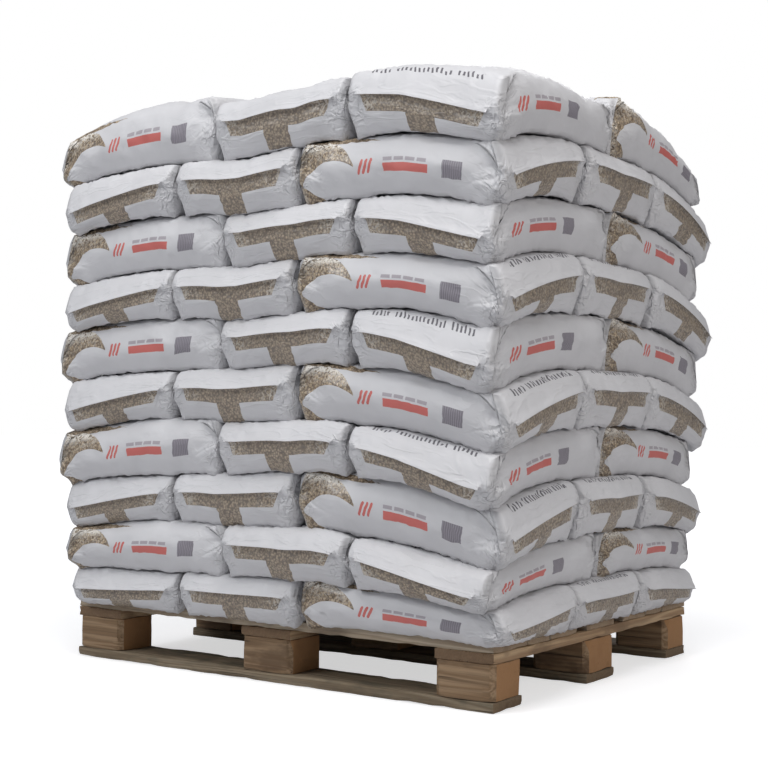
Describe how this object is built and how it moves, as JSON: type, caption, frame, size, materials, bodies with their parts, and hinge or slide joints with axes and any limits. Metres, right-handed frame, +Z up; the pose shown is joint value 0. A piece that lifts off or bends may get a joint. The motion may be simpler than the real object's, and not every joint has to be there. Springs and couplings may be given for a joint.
{
  "type": "loaded pallet of sacks",
  "caption": "Timber block pallet loaded with crossed layers of filled plastic sacks of wood pellets, unwrapped.",
  "frame": {"origin": "on the floor under the middle of the pallet", "axes": "+Z up, X along the pallet's 1200 mm side, Y along its 1000 mm side; the near corner of the load is at +X, -Y"},
  "size_m": [1.2976, 1.1426, 1.3918],
  "materials": {
    "sack_film": "printed polyethylene film, satin, creased",
    "board_wood": "sawn softwood, weathered",
    "block_wood": "sawn softwood block, end grain",
    "nail_steel": "dull steel nail heads"
  },
  "bodies": {
    "root": {"bottom_board_1": "board_wood", "bottom_board_2": "board_wood", "bottom_board_3": "board_wood", "stringer_board_1": "board_wood", "stringer_board_2": "board_wood", "stringer_board_3": "board_wood", "deck_board_1": "board_wood", "deck_board_2": "board_wood", "deck_board_3": "board_wood", "deck_board_4": "board_wood", "deck_board_5": "board_wood", "deck_board_6": "board_wood", "deck_board_7": "board_wood", "block_1": "block_wood", "block_2": "block_wood", "block_3": "block_wood", "block_4": "block_wood", "block_5": "block_wood", "block_6": "block_wood", "block_7": "block_wood", "block_8": "block_wood", "block_9": "block_wood", "sack_layer_01": "sack_film", "sack_layer_02": "sack_film", "sack_layer_03": "sack_film", "sack_layer_04": "sack_film", "sack_layer_05": "sack_film", "sack_layer_06": "sack_film", "sack_layer_07": "sack_film", "sack_layer_08": "sack_film", "sack_layer_09": "sack_film", "sack_layer_10": "sack_film"}
  },
  "joints": []
}
